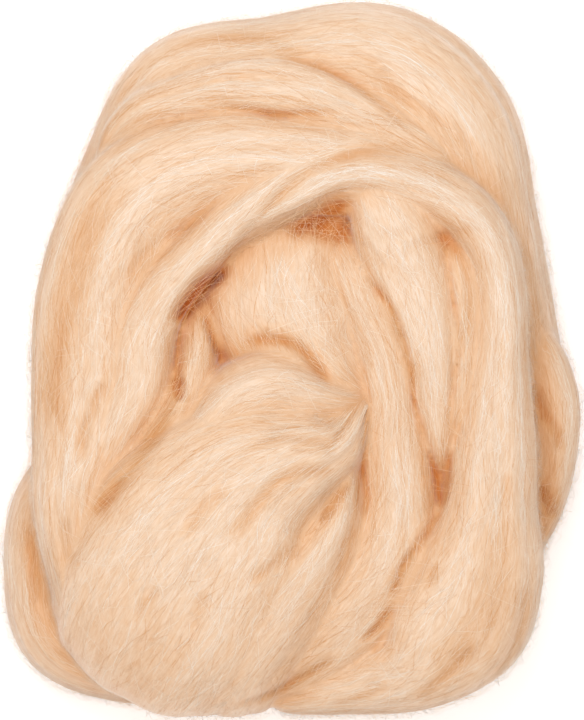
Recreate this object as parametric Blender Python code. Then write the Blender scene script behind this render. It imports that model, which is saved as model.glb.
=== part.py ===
"""A bundle of combed wool roving, laid down on its back.

One soft, untwisted rope of wool fibres is folded on itself into an oval bundle. Each stretch of the
rope that shows is a run: a flattened, rounded band carried along its own path. The runs lie over each
other and are one piece of wool, so they are joined into one solid with a flat underside.

Millimetres in the tables and metres in the mesh. +X is right, +Y is up in the face-on view, +Z is away
from the surface that the bundle rests on. The origin is on the flat underside, below the middle.
"""

import math
from collections import namedtuple

import bmesh
import bpy
import numpy as np

MM = 0.001

# How finely each run is made before the runs are joined.
STEP_ALONG = 5.0
POINTS_AROUND = 40
FEWEST_STEPS = 8
READINGS_PER_STATION = 40
BLUNT_END = 9.0
BLUNT_TIP = 0.02

# A groove is a lengthwise dip between two of the strands that a band is made of.
GROOVE_DEPTH = 2.2
GROOVE_HALF_WIDTH = 0.13
GROOVE_DRIFT = 0.06
DRIFT_LENGTH = 23.0
DRIFT_TURN = 2.1
EDGE_FADE = 1.2

# How the runs are joined.
JOIN_GRAIN = 1.1
SMOOTH_ROUNDS = 2
SMOOTH_STRENGTH = 0.4
TRIANGLES = 10400
TRIANGLES_PER_FACE = 2

# How a crease ends: it fades in over this share of its line, from this share of its depth.
CREASE_FADE = 0.16
CREASE_END = 0.25

# x, y, z: where the middle of the band passes. width: across the band. thick: through it.
Station = namedtuple("Station", "x y z width thick")

# stations: the sections that a band passes through, in order.
# grooves: where its lengthwise dips lie, from -1 at its left edge to 1 at its right edge.
Run = namedtuple("Run", "stations grooves")

RUNS = {
    # The loop nearest the surface, which shows all round the rim.
    "outer_loop": Run(
        [
            Station(26, -84, 16, 30, 32),
            Station(-12, -91, 16, 32, 34),
            Station(-46, -93, 16, 28, 34),
            Station(-70, -85, 17, 29, 35),
            Station(-76, -65, 18, 27, 37),
            Station(-74, -47, 18, 27, 37),
            Station(-66, -33, 18, 26, 36),
            Station(-60, -8, 20, 30, 36),
            Station(-59, 28, 20, 34, 38),
            Station(-49, 61, 21, 32, 40),
            Station(-34, 83, 24, 37, 46),
            Station(-7, 88, 26, 37, 48),
            Station(26, 89, 27, 43, 52),
            Station(48, 72, 28, 43, 52),
            Station(60, 42, 26, 33, 46),
            Station(66, 12, 22, 32, 40),
            Station(70, -12, 20, 32, 38),
            Station(70, -32, 19, 34, 36),
            Station(63, -54, 17, 32, 35),
            Station(46, -76, 16, 32, 34),
            Station(16, -89, 16, 32, 34),
            Station(-20, -86, 16, 30, 32),
        ],
        (-0.1, 0.45),
    ),
    "side_fold": Run(
        [
            Station(66, 22, 24, 7, 10),
            Station(72, 11, 27, 11, 13),
            Station(78, -1, 29, 15, 17),
            Station(81, -14, 29, 17, 19),
            Station(81, -27, 27, 16, 19),
            Station(79, -40, 25, 15, 18),
            Station(75, -52, 22, 13, 15),
            Station(68, -64, 17, 10, 12),
        ],
        (),
    ),
    # Two thin ribs between the outer loop and the arch.
    "upper_rib": Run(
        [
            Station(-58, 48, 30, 6, 12),
            Station(-56, 68, 37, 7, 13),
            Station(-47, 79, 42, 8, 14),
            Station(-36, 84, 45, 8, 14),
            Station(-22, 88, 47, 8, 14),
            Station(-8, 89, 48, 9, 14),
            Station(6, 86, 48, 10, 14),
            Station(20, 79, 48, 11, 14),
            Station(35, 71, 46, 12, 14),
            Station(50, 61, 42, 8, 13),
        ],
        (),
    ),
    "lower_rib": Run(
        [
            Station(-54, 46, 32, 8, 13),
            Station(-54, 65, 38, 9, 14),
            Station(-45, 75, 43, 11, 16),
            Station(-34, 79, 46, 12, 17),
            Station(-20, 81, 48, 15, 18),
            Station(-5, 81, 49, 17, 19),
            Station(8, 78, 49, 17, 19),
            Station(20, 73, 48, 16, 18),
            Station(36, 66, 47, 17, 17),
            Station(51, 56, 44, 13, 16),
        ],
        (0.0,),
    ),
    # The wide arch, in three overlapping bands.
    "arch_outer": Run(
        [
            Station(-44, -98, 20, 22, 30),
            Station(-57, -84, 31, 26, 32),
            Station(-63, -64, 38, 26, 34),
            Station(-66, -44, 41, 29, 36),
            Station(-62, -24, 41, 38, 36),
            Station(-59, -2, 41, 44, 36),
            Station(-57, 21, 41, 44, 36),
            Station(-47, 46, 43, 43, 36),
            Station(-24, 59, 45, 39, 34),
            Station(3, 60, 46, 34, 32),
            Station(28, 56, 45, 30, 30),
            Station(48, 48, 43, 28, 27),
            Station(60, 34, 38, 16, 22),
        ],
        (-0.35,),
    ),
    "arch_middle": Run(
        [
            Station(-68, -54, 38, 6, 14),
            Station(-63, -43, 43, 9, 20),
            Station(-58, -32, 46, 15, 24),
            Station(-53, -20, 48, 21, 26),
            Station(-48, -8, 49, 23, 26),
            Station(-46, 6, 49, 23, 26),
            Station(-40, 20, 50, 21, 24),
            Station(-26, 36, 52, 18, 22),
            Station(-10, 50, 53, 18, 20),
            Station(6, 60, 52, 17, 20),
            Station(22, 64, 50, 15, 18),
            Station(40, 58, 46, 12, 16),
            Station(54, 47, 42, 8, 12),
        ],
        (0.1,),
    ),
    # The lip of the arch, which turns down the right side and sweeps round the bottom.
    "lip_and_side": Run(
        [
            Station(-40, 4, 42, 7, 10),
            Station(-37, 23, 48, 9, 13),
            Station(-27, 35, 53, 11, 15),
            Station(-13, 44, 54, 13, 15),
            Station(0, 51, 54, 14, 15),
            Station(12, 57, 54, 15, 16),
            Station(25, 58, 53, 17, 18),
            Station(40, 53, 51, 20, 20),
            Station(52, 46, 50, 19, 24),
            Station(60, 35, 50, 18, 25),
            Station(63, 20, 49, 18, 26),
            Station(63, 5, 49, 19, 27),
            Station(62, -10, 48, 24, 28),
            Station(61, -28, 48, 29, 30),
            Station(60, -44, 48, 31, 33),
            Station(57, -62, 47, 42, 38),
            Station(49, -80, 43, 48, 42),
            Station(37, -92, 37, 34, 42),
            Station(13, -99, 32, 20, 36),
            Station(-8, -103, 26, 12, 24),
        ],
        (-0.35, 0.3),
    ),
    # The strands that hang in the hollow of the arch.
    "web": Run(
        [
            Station(18, 62, 47, 10, 12),
            Station(25, 53, 51, 20, 18),
            Station(32, 40, 52, 29, 20),
            Station(37, 26, 51, 30, 20),
            Station(41, 12, 52, 25, 20),
            Station(43, 0, 51, 21, 20),
            Station(44, -12, 50, 18, 18),
            Station(45, -23, 50, 12, 16),
            Station(46, -36, 45, 7, 11),
        ],
        (0.1,),
    ),
    "sliver": Run(
        [
            Station(49, 40, 42, 6, 8),
            Station(51, 30, 51, 11, 13),
            Station(53, 18, 53, 11, 13),
            Station(53, 6, 53, 10, 13),
            Station(53, -6, 52, 11, 13),
            Station(51, -18, 51, 9, 12),
            Station(50, -28, 49, 7, 11),
        ],
        (),
    ),
    "inner_lobe": Run(
        [
            Station(-2, 54, 30, 38, 16),
            Station(-3, 46, 40, 44, 19),
            Station(-4, 37, 45, 47, 20),
            Station(-4, 27, 46, 49, 22),
            Station(-2, 15, 46, 51, 24),
            Station(4, 2, 47, 46, 24),
            Station(13, -6, 48, 30, 20),
            Station(21, -11, 46, 12, 14),
            Station(25, -18, 41, 6, 8),
        ],
        (0.1,),
    ),
    "inner_band": Run(
        [
            Station(9, 47, 36, 10, 10),
            Station(13, 38, 43, 13, 14),
            Station(18, 26, 47, 18, 18),
            Station(23, 15, 47, 20, 20),
            Station(28, 3, 47, 21, 21),
            Station(31, -12, 47, 21, 22),
            Station(31, -26, 47, 28, 24),
            Station(32, -42, 47, 30, 26),
            Station(30, -58, 47, 37, 30),
            Station(18, -74, 43, 43, 34),
            Station(2, -88, 36, 34, 34),
            Station(-10, -97, 28, 24, 28),
        ],
        (0.0,),
    ),
    "tuck": Run(
        [
            Station(-27, 24, 38, 7, 10),
            Station(-29, 12, 46, 12, 14),
            Station(-29, 2, 50, 13, 16),
            Station(-33, -12, 53, 13, 17),
            Station(-42, -26, 52, 13, 17),
            Station(-52, -40, 48, 12, 16),
            Station(-60, -52, 42, 10, 14),
        ],
        (),
    ),
    # The broad fans that spread from the pinch at the middle to the lower left.
    "fan_edge": Run(
        [
            Station(25, -9, 42, 6, 9),
            Station(15, -13, 49, 14, 20),
            Station(5, -12, 51, 22, 27),
            Station(-6, -10, 52, 27, 30),
            Station(-16, -13, 52, 25, 31),
            Station(-25, -22, 51, 23, 31),
            Station(-34, -34, 49, 22, 31),
            Station(-44, -47, 46, 23, 32),
            Station(-54, -63, 41, 26, 32),
            Station(-61, -80, 32, 20, 30),
        ],
        (),
    ),
    "upper_fan": Run(
        [
            Station(25, -9, 43, 5, 7),
            Station(19, -17, 51, 11, 17),
            Station(13, -26, 54, 23, 27),
            Station(2, -31, 55, 40, 34),
            Station(-12, -39, 54, 62, 41),
            Station(-25, -55, 51, 78, 46),
            Station(-36, -73, 44, 82, 50),
            Station(-43, -85, 33, 70, 46),
            Station(-45, -89, 20, 60, 36),
        ],
        (-0.25, 0.12, 0.5),
    ),
    "lower_fan": Run(
        [
            Station(24, -13, 41, 4, 7),
            Station(19, -28, 50, 9, 16),
            Station(15, -41, 51, 17, 25),
            Station(9, -54, 51, 31, 32),
            Station(-3, -68, 48, 41, 38),
            Station(-14, -82, 43, 42, 42),
            Station(-20, -92, 32, 40, 38),
            Station(-22, -95, 20, 34, 30),
        ],
        (0.2,),
    ),
    # Folds inside the bundle, which fill it and lie flat on the surface.
    "left_base": Run(
        [
            Station(-34, -82, 18, 40, 36),
            Station(-36, -40, 18, 48, 38),
            Station(-36, 10, 18, 46, 38),
            Station(-26, 66, 18, 40, 36),
        ],
        (),
    ),
    "right_base": Run(
        [
            Station(22, -82, 18, 44, 36),
            Station(34, -40, 18, 50, 38),
            Station(36, 10, 18, 50, 38),
            Station(26, 64, 18, 44, 36),
        ],
        (),
    ),
    "middle_base": Run(
        [
            Station(-4, -86, 17, 40, 36),
            Station(0, -30, 18, 46, 38),
            Station(-2, 30, 16, 46, 34),
            Station(0, 70, 17, 40, 36),
        ],
        (),
    ),
    "left_core": Run(
        [
            Station(-14, 40, 32, 22, 18),
            Station(-20, 16, 38, 24, 18),
            Station(-22, -2, 41, 22, 18),
            Station(-36, -20, 41, 22, 19),
        ],
        (),
    ),
    "inner_core": Run(
        [
            Station(30, 48, 26, 26, 20),
            Station(27, 24, 31, 42, 26),
            Station(18, 0, 32, 50, 26),
            Station(10, -30, 32, 56, 28),
            Station(4, -66, 30, 60, 30),
        ],
        (),
    ),
}

# line: places (x, y) that a crease passes over, seen from above. width: from its bottom to its soft rim.
# depth: how far it draws the wool down at its middle.
Crease = namedtuple("Crease", "line width depth")

CREASES = [
    # Under the arch's lip, down its left side and between its left leg and the fan.
    Crease([(-4, 38), (5, 42), (12, 45), (20, 51)], 3.0, 3.5),
    Crease([(-36, 10), (-32, 18), (-26, 24), (-19, 29)], 3.2, 4.0),
    Crease([(-34, 15), (-35, 2), (-34, -14)], 2.6, 2.2),
    Crease([(-34, -6), (-39, -19), (-50, -35), (-62, -50)], 3.0, 2.5),
    Crease([(-57, -6), (-64, -22), (-65, -33)], 2.4, 2.0),
    # Round the inner lobe and the inner band.
    Crease([(-20, 3), (-7, 6), (2, 4), (12, -10)], 2.6, 2.5),
    Crease([(22, 26), (30, 17), (35, 4), (38, -15), (43, -30), (46, -46)], 2.6, 2.4),
    Crease([(24, -11), (21.5, -32), (22, -51)], 2.6, 2.0),
    # Between the strands and the band at the right, and round the bottom.
    Crease([(46, 39), (50, 16), (52, 4), (48, -28)], 2.2, 2.0),
    Crease([(46, -44), (35, -62), (31, -75), (21, -87), (4, -97), (-19, -107)], 3.0, 1.8),
    Crease([(74, -6), (77, -14), (84, -29)], 2.2, 1.5),
    # The fan's own valleys.
    Crease([(16, -35), (-5, -38), (-20, -57)], 3.0, 1.5),
    Crease([(-26, -68), (-31, -84)], 2.4, 1.5),
    # The slit under the ribs, and the line over them.
    Crease([(-26, 79), (-5, 76), (16, 76)], 2.2, 2.5),
    Crease([(-8, 94), (12, 88), (30, 76), (40, 67)], 2.2, 1.8),
]


def clear_scene():
    """Removes whatever the scene holds at the start."""
    for old in list(bpy.data.objects):
        bpy.data.objects.remove(old, do_unlink=True)


def curve_through(knots, at):
    """A Catmull-Rom curve through the rows of knots, read at places 0 to len(knots) - 1."""
    padded = np.vstack([2 * knots[0] - knots[1], knots, 2 * knots[-1] - knots[-2]])
    first = np.clip(at.astype(int), 0, len(knots) - 2)
    t = (at - first)[:, None]
    a, b, c, d = (padded[first + i] for i in range(4))
    return 0.5 * (2 * b + (c - a) * t + (2 * a - 5 * b + 4 * c - d) * t**2 + (3 * b - a - 3 * c + d) * t**3)


def even_places(knots, step):
    """Places along the curve that lie about one step apart, and how far along each one is."""
    fine = np.linspace(0, len(knots) - 1, READINGS_PER_STATION * len(knots))
    path = curve_through(knots, fine)[:, :3]
    along = np.concatenate([[0], np.cumsum(np.linalg.norm(np.diff(path, axis=0), axis=1))])
    count = max(FEWEST_STEPS, int(round(along[-1] / step)))
    wanted = np.linspace(0, along[-1], count + 1)
    return np.interp(wanted, along, fine), wanted


def carried_frames(path):
    """Unit vectors across and out of a band, level at the path's middle and carried along it without twist."""
    tangent = np.gradient(path, axis=0)
    tangent /= np.linalg.norm(tangent, axis=1)[:, None]
    across = np.zeros_like(path)
    middle = len(path) // 2
    across[middle] = np.cross(tangent[middle], (0, 0, 1))
    for order in (range(middle + 1, len(path)), range(middle - 1, -1, -1)):
        before = middle
        for i in order:
            carried = across[before] - tangent[i] * np.dot(across[before], tangent[i])
            across[i] = carried / np.linalg.norm(carried)
            before = i
    across[middle] /= np.linalg.norm(across[middle])
    return across, np.cross(across, tangent)


def groove_dip(side, along, grooves):
    """How deep the grooves are, 0 to 1, at a place from -1 to 1 across the band."""
    dip = np.zeros_like(side)
    for number, place in enumerate(grooves):
        drift = GROOVE_DRIFT * np.sin(along / DRIFT_LENGTH + DRIFT_TURN * number)
        dip = np.maximum(dip, np.exp(-(((side - place - drift) / GROOVE_HALF_WIDTH) ** 2)))
    return dip * np.clip(EDGE_FADE * (1 - side**2), 0, 1)


def swept_band(run):
    """(points, faces) of one run: a grooved ellipse carried along its path and drawn in to blunt ends."""
    knots = np.array(run.stations, float)
    places, along = even_places(knots, STEP_ALONG)
    sections = curve_through(knots, places)
    path, width, thick = sections[:, :3], sections[:, 3], sections[:, 4]
    across, out = carried_frames(path)
    from_end = np.minimum(along, along[-1] - along)
    blunt = np.sqrt(np.clip(1 - (1 - np.clip(from_end / BLUNT_END, 0, 1)) ** 2, BLUNT_TIP, 1))
    angle = np.linspace(0, 2 * math.pi, POINTS_AROUND, endpoint=False)[None, :]
    side = np.cos(angle) + 0 * along[:, None]
    dip = GROOVE_DEPTH * groove_dip(side, along[:, None], run.grooves)
    reach = 0.5 * (width * blunt)[:, None] * side
    rise = np.sin(angle) * (0.5 * thick[:, None] - dip) * blunt[:, None]
    points = path[:, None, :] + reach[..., None] * across[:, None, :] + rise[..., None] * out[:, None, :]
    rows, columns = side.shape
    ring = np.arange(columns)
    after = np.roll(ring, -1)
    start = (np.arange(rows - 1) * columns)[:, None]
    quads = np.stack([start + ring, start + after, start + columns + after, start + columns + ring], axis=-1)
    faces = quads.reshape(-1, 4)[:, ::-1].tolist()
    faces.append(ring.tolist())
    faces.append((ring[::-1] + (rows - 1) * columns).tolist())
    return points.reshape(-1, 3) * MM, faces


def object_of(name, points, faces):
    """A mesh object of its own in the scene."""
    mesh = bpy.data.meshes.new(name)
    mesh.from_pydata([tuple(p) for p in points], [], faces)
    mesh.validate()
    obj = bpy.data.objects.new(name, mesh)
    bpy.context.scene.collection.objects.link(obj)
    return obj


def all_bands():
    """(points, faces) of every run in one mesh, still overlapping."""
    points, faces, before = [], [], 0
    for run in RUNS.values():
        band, sides = swept_band(run)
        points.append(band)
        faces += [[corner + before for corner in face] for face in sides]
        before += len(band)
    return np.vstack(points), faces


def add_smoothing(obj, name):
    """Evens the surface out by the shared number of rounds."""
    even = obj.modifiers.new(name, "SMOOTH")
    even.factor = SMOOTH_STRENGTH
    even.iterations = SMOOTH_ROUNDS


def applied(obj):
    """The object's mesh with its modifiers applied."""
    graph = bpy.context.evaluated_depsgraph_get()
    made = bpy.data.meshes.new_from_object(obj.evaluated_get(graph))
    obj.modifiers.clear()
    obj.data = made
    return obj


def keep_outer_skin(mesh):
    """Deletes every closed shell but the largest, such as the walls of a pocket sealed inside."""
    shape = bmesh.new()
    shape.from_mesh(mesh)
    left, shells = set(shape.verts), []
    while left:
        shell, edge = set(), [left.pop()]
        while edge:
            vertex = edge.pop()
            shell.add(vertex)
            for link in vertex.link_edges:
                other = link.other_vert(vertex)
                if other in left:
                    left.discard(other)
                    edge.append(other)
        shells.append(shell)
    shells.sort(key=len)
    for shell in shells[:-1]:
        bmesh.ops.delete(shape, geom=list(shell), context="VERTS")
    shape.to_mesh(mesh)
    shape.free()


def press_creases(mesh):
    """Draws the upper side down by the creases: depth * exp(-(distance / width)^2) from each one's line."""
    points = np.empty(3 * len(mesh.vertices), np.float32)
    mesh.vertices.foreach_get("co", points)
    points = points.reshape(-1, 3) / MM
    upward = np.empty(3 * len(mesh.vertices), np.float32)
    mesh.vertices.foreach_get("normal", upward)
    upward = np.clip(upward.reshape(-1, 3)[:, 2], 0, 1)
    for crease in CREASES:
        knots = np.array(crease.line, float)
        line = curve_through(knots, np.linspace(0, len(knots) - 1, READINGS_PER_STATION))
        away = ((points[:, None, :2] - line[None]) ** 2).sum(axis=2)
        closest = away.argmin(axis=1)
        place = closest / (len(line) - 1)
        fading = np.clip(np.minimum(place, 1 - place) / CREASE_FADE + CREASE_END, 0, 1)
        near = np.exp(-away[np.arange(len(points)), closest] / crease.width**2)
        points[:, 2] -= crease.depth * fading * near * upward
    mesh.vertices.foreach_set("co", (points * MM).astype(np.float32).ravel())
    mesh.update()


def cut_flat(mesh):
    """Cuts the underside off along the resting plane and closes it with a flat face."""
    shape = bmesh.new()
    shape.from_mesh(mesh)
    everything = shape.verts[:] + shape.edges[:] + shape.faces[:]
    cut = bmesh.ops.bisect_plane(
        shape, geom=everything, plane_co=(0, 0, 0), plane_no=(0, 0, -1), clear_outer=True
    )
    rim = [item for item in cut["geom_cut"] if isinstance(item, bmesh.types.BMEdge)]
    bmesh.ops.edgeloop_fill(shape, edges=rim)
    bmesh.ops.triangulate(shape, faces=shape.faces[:])
    bmesh.ops.recalc_face_normals(shape, faces=shape.faces[:])
    shape.to_mesh(mesh)
    shape.free()


def make_roving():
    """The bundle: all runs joined, smoothed, creased, thinned and cut flat where it rests."""
    bundle = object_of("roving", *all_bands())
    join = bundle.modifiers.new("join", "REMESH")
    join.mode = "VOXEL"
    join.voxel_size = JOIN_GRAIN * MM
    join.adaptivity = 0
    add_smoothing(bundle, "soften")
    applied(bundle)
    keep_outer_skin(bundle.data)
    press_creases(bundle.data)
    add_smoothing(bundle, "settle")
    thin = bundle.modifiers.new("thin", "DECIMATE")
    thin.ratio = TRIANGLES / (TRIANGLES_PER_FACE * len(bundle.data.polygons))
    applied(bundle)
    cut_flat(bundle.data)
    return bundle


def wool_material():
    """Matte pale peach wool."""
    wool = bpy.data.materials.new("peach_wool")
    wool.use_nodes = True
    shader = wool.node_tree.nodes["Principled BSDF"]
    shader.inputs["Base Color"].default_value = (0.86, 0.62, 0.43, 1)
    shader.inputs["Roughness"].default_value = 0.95
    shader.inputs["Metallic"].default_value = 0.0
    return wool


def main():
    clear_scene()
    bundle = make_roving()
    bundle.data.materials.append(wool_material())
    bundle.data.shade_smooth()


main()
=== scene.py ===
"""The looks of a bundle of combed wool roving that lies on its back.

The roving is one soft rope of combed fibres, folded on itself. Each stretch of it that shows is a run:
a flattened round band carried along its own path, with the soft lengthwise lobes of the rope. One skin
closes round all the bands, and creases are pressed into it where the folds meet. Over it lie single
combed fibres, looser ones that cross the folds, strays drawn over the gaps, and a fuzz at the sides.

The tables are in millimetres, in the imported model's frame: +X right, +Y up in the face-on view and
+Z away from the surface that the bundle rests on. Meshes are in metres.
"""

import math
from collections import namedtuple

import bpy
import numpy as np
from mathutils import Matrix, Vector


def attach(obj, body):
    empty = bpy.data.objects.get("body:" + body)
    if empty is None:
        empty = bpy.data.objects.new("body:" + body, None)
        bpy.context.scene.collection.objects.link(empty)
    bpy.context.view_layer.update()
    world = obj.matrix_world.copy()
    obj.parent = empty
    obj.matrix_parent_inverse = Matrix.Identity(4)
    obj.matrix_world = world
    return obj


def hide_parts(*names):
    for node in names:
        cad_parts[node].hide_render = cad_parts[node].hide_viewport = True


MM = 0.001
NODE = "roving"
SEED = 20
MM2_IN_CM2 = 100

# The camera looks straight down at the bundle's face, from far away, as a product photo does.
VIEW_HEIGHT = 223.2 * MM
MIDDLE_HEIGHT = 35 * MM
CAMERA_DISTANCE = 2.6
SENSOR = 24.0
FLOOR_SIDE = 8.0

# place: in metres. size: across its disc. power: in watts. colour: linear.
Light = namedtuple("Light", "place size power colour")

# A soft main light from the top left, a warm weak one from the bottom, and one from far overhead.
LIGHTS = {
    "main_softbox": Light((-0.12, 0.40, 0.72), 0.6, 2.4, (1.0, 1.0, 1.0)),
    "front_softbox": Light((-0.05, -0.80, 1.0), 1.2, 3.0, (1.0, 0.80, 0.63)),
    "overhead_softbox": Light((0.0, 0.2, 3.2), 1.6, 24.5, (1.0, 1.0, 1.0)),
}
SKY_STRENGTH = 0.50
SKY_COLOUR = (1.0, 0.99, 0.98, 1.0)
FLOOR_GLOW = 0.42

# The grid of a band, in mm: from ring to ring, from point to point, and the length of its round ends,
# which come down to a hundredth of its section. The lowest point of the wool is just off the floor.
RING_SPACING = 2.6
POINT_SPACING = 0.85
BLUNT_END = 9.0
BLUNT_TIP = 0.01
LEAST_RINGS = 8
LEAST_POINTS = 24
RESTING_HEIGHT = 0.3

# Readings of a path's curve for each station, and the cells left over where a grid is last read.
PATH_READINGS = 40
LAST_READING = 1.001

# The skin over all the bands: its grid in mm, the share of its faces that is kept, and how far it is
# softened where the bands meet.
SKIN_GRAIN = 0.9
SKIN_KEPT = 0.54
SOFTEN_ROUNDS = 2
SOFTEN_SHARE = 0.4

# A crease is read at so many places for each knot and reaches so many of its widths. It fades out over
# a fifth of its line at both ends, and presses fully only where the wool faces up.
CREASE_READINGS = 8
CREASE_REACH = 3.0
CREASE_FADE = 5.0
FACING_UP = 1.6

# How much painted shade a millimetre of crease, and turning away from above, adds to how closed a place is:
# the colour is painted darker in creases and on slopes that face away from the light above.
CREASE_PAINTED_SHADE = 0.15
SLOPE_PAINTED_SHADE = 0.17

# The map of the bundle's top: its cell and border in mm, and the directions and distances, in cells, in
# which it is looked at for higher wool.
MAP_STEP = 1.0
MAP_MARGIN = 6.0
MAP_DIRECTIONS = 12
MAP_REACHES = (2, 3, 5, 8, 12)

# The painted shade of a closed place, spread over the wool round it: how often the map is softened, which
# gives each cell half its own value and a quarter of each neighbour's, and how the two maps add up.
SHADE_SPREAD_ROUNDS = 5
SPREAD_SHADE_SHARE = 0.5
OWN_SHADE_SHARE = 0.5

# The grid that holds the wool's outward direction: its cell and border in mm, and its softening. The
# weights are those of a fibre's own direction, and of straight up, beside the wool's: light that passes
# through the top layer evens it out. UP_REACH: how far below level straight up still starts to count.
FIELD_STEP = 1.5
FIELD_MARGIN = 6.0
FIELD_SPREAD = 0.6
OWN_WEIGHT = 2.0
UP_WEIGHT = 6.0
UP_REACH = 0.3

# lobes: how strongly a band's lengthwise lobes stand out. cover: fibres for each square centimetre.
# stations: the sections that it passes through, in order, each (x, y, z, width, thick): where its middle
# passes, how wide it is across the band and how thick through it.
Run = namedtuple("Run", "lobes cover stations")

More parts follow.
